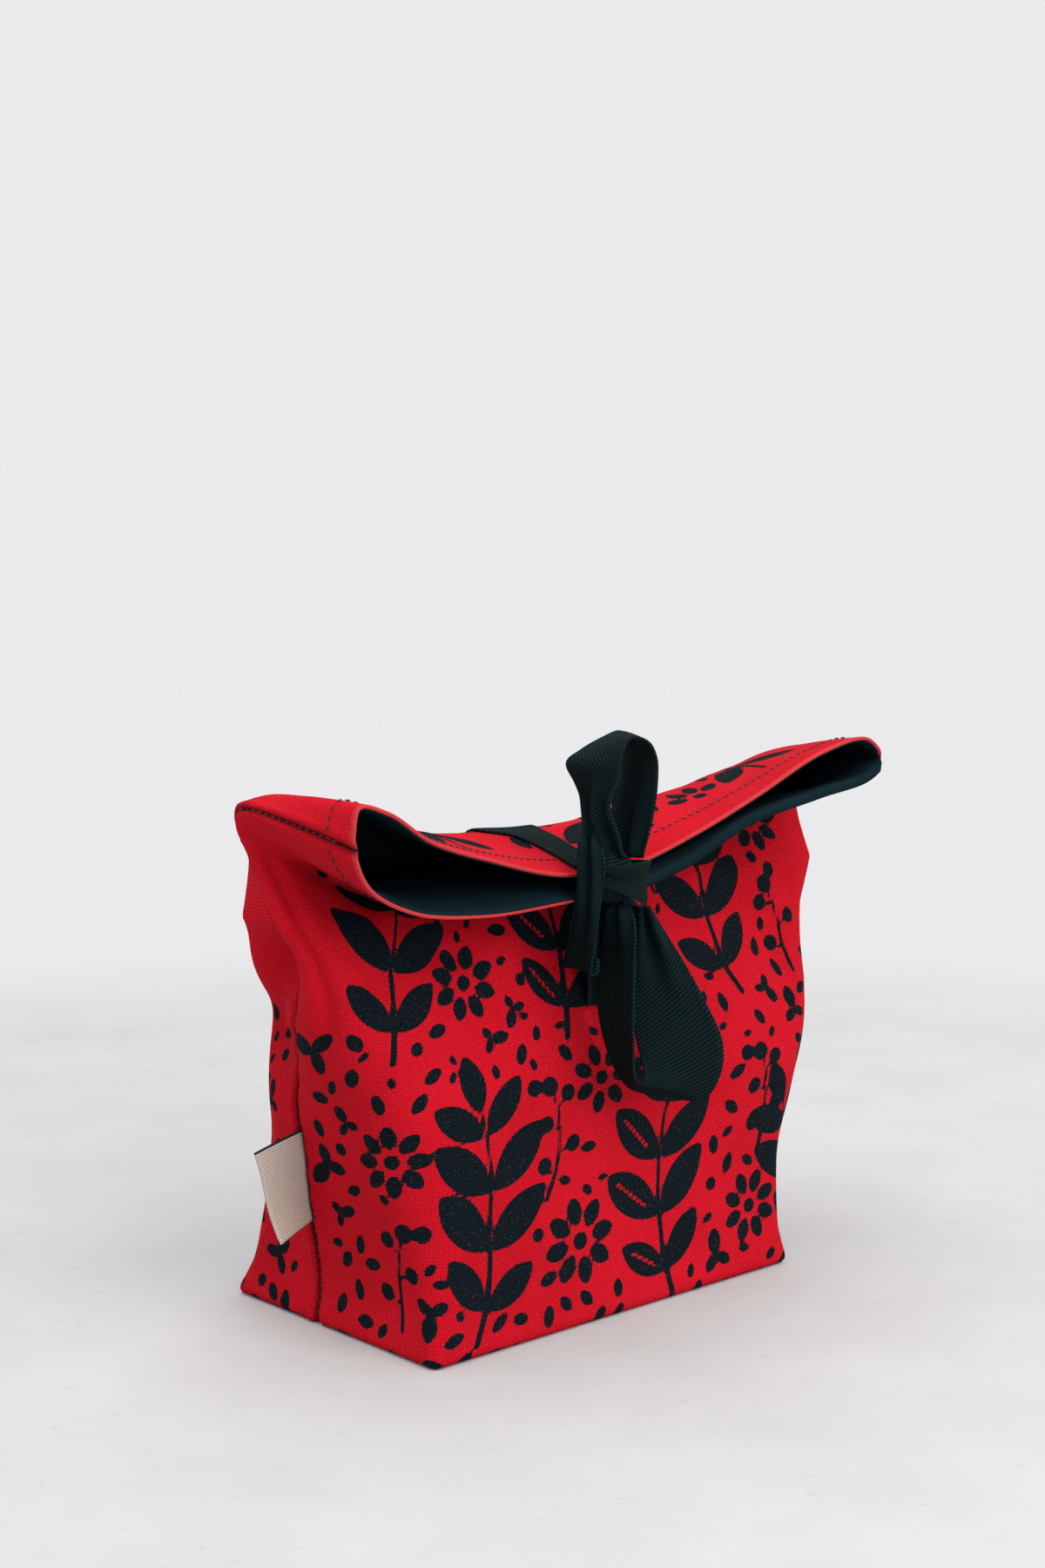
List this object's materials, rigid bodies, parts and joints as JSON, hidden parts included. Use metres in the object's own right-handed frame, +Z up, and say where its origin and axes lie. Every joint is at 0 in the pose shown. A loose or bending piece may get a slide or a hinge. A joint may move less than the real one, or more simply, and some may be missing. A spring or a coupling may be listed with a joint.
{
  "type": "fabric bag",
  "caption": "Fold-over canvas bag with a boxed base, a dark lining, a top folded to the front and tied with a tape bow, and a blank side label",
  "frame": {"origin": "on the flat base, below the middle of the bag, at the height of the surface it stands on", "axes": "+X is to the right seen from the front and is the longest way, -Y is the front where the top folds over, +Z is up"},
  "size_m": [0.2605, 0.1291, 0.1968],
  "materials": {
    "red_canvas": null,
    "dark_lining": "plain-weave lining, dark green-blue",
    "black_twill_tape": "matte twill tape, near black",
    "cream_label": "ribbed woven label, cream, left blank",
    "sewing_thread": "matte sewing thread"
  },
  "bodies": {
    "bag": {"canvas_front_panel": "red_canvas", "canvas_back_panel": "red_canvas", "lining_front_panel": "dark_lining", "lining_back_panel": "dark_lining", "back_tie_anchor": "black_twill_tape", "back_tie_stitch": "sewing_thread", "front_tie": "black_twill_tape", "left_seam_thread_body": "sewing_thread", "right_seam_thread_body": "sewing_thread"},
    "flap": {"canvas_front_flap": "red_canvas", "canvas_back_flap": "red_canvas", "lining_front_flap": "dark_lining", "lining_back_flap": "dark_lining", "back_tie_run": "black_twill_tape", "bow_knot": "black_twill_tape", "bow_rear_tail": "black_twill_tape", "hem_stitch_front": "sewing_thread", "hem_stitch_back": "sewing_thread", "left_seam_thread_flap": "sewing_thread", "right_seam_thread_flap": "sewing_thread"},
    "upper_loop": {"bow_upper_loop": "black_twill_tape"},
    "lower_loop": {"bow_lower_loop": "black_twill_tape"},
    "left_tail": {"bow_left_tail": "black_twill_tape"},
    "label": {"side_label": "cream_label"}
  },
  "joints": [
    {"name": "flap_fold", "type": "hinge", "parent": "bag", "child": "flap", "pos_m": [0, 0.003, 0.184], "axis": [-1, 0, 0], "range_deg": [0, 95]},
    {"name": "upper_loop_lean", "type": "hinge", "parent": "flap", "child": "upper_loop", "pos_m": [-0.01093, -0.05529, 0.15028], "axis": [0, -1, 0], "range_deg": [-20, 20]},
    {"name": "lower_loop_swing", "type": "hinge", "parent": "flap", "child": "lower_loop", "pos_m": [-0.01093, -0.05529, 0.15028], "axis": [-0.7413, 0.6712, 0], "range_deg": [0, 40]},
    {"name": "left_tail_swing", "type": "hinge", "parent": "flap", "child": "left_tail", "pos_m": [-0.01093, -0.05529, 0.15028], "axis": [-0.7413, 0.6712, 0], "range_deg": [0, 40]},
    {"name": "label_bend", "type": "hinge", "parent": "bag", "child": "label", "pos_m": [-0.08917, 0.01196, 0.04963], "axis": [-0.1732, -0.0558, 0.9833], "range_deg": [-50, 50]}
  ]
}
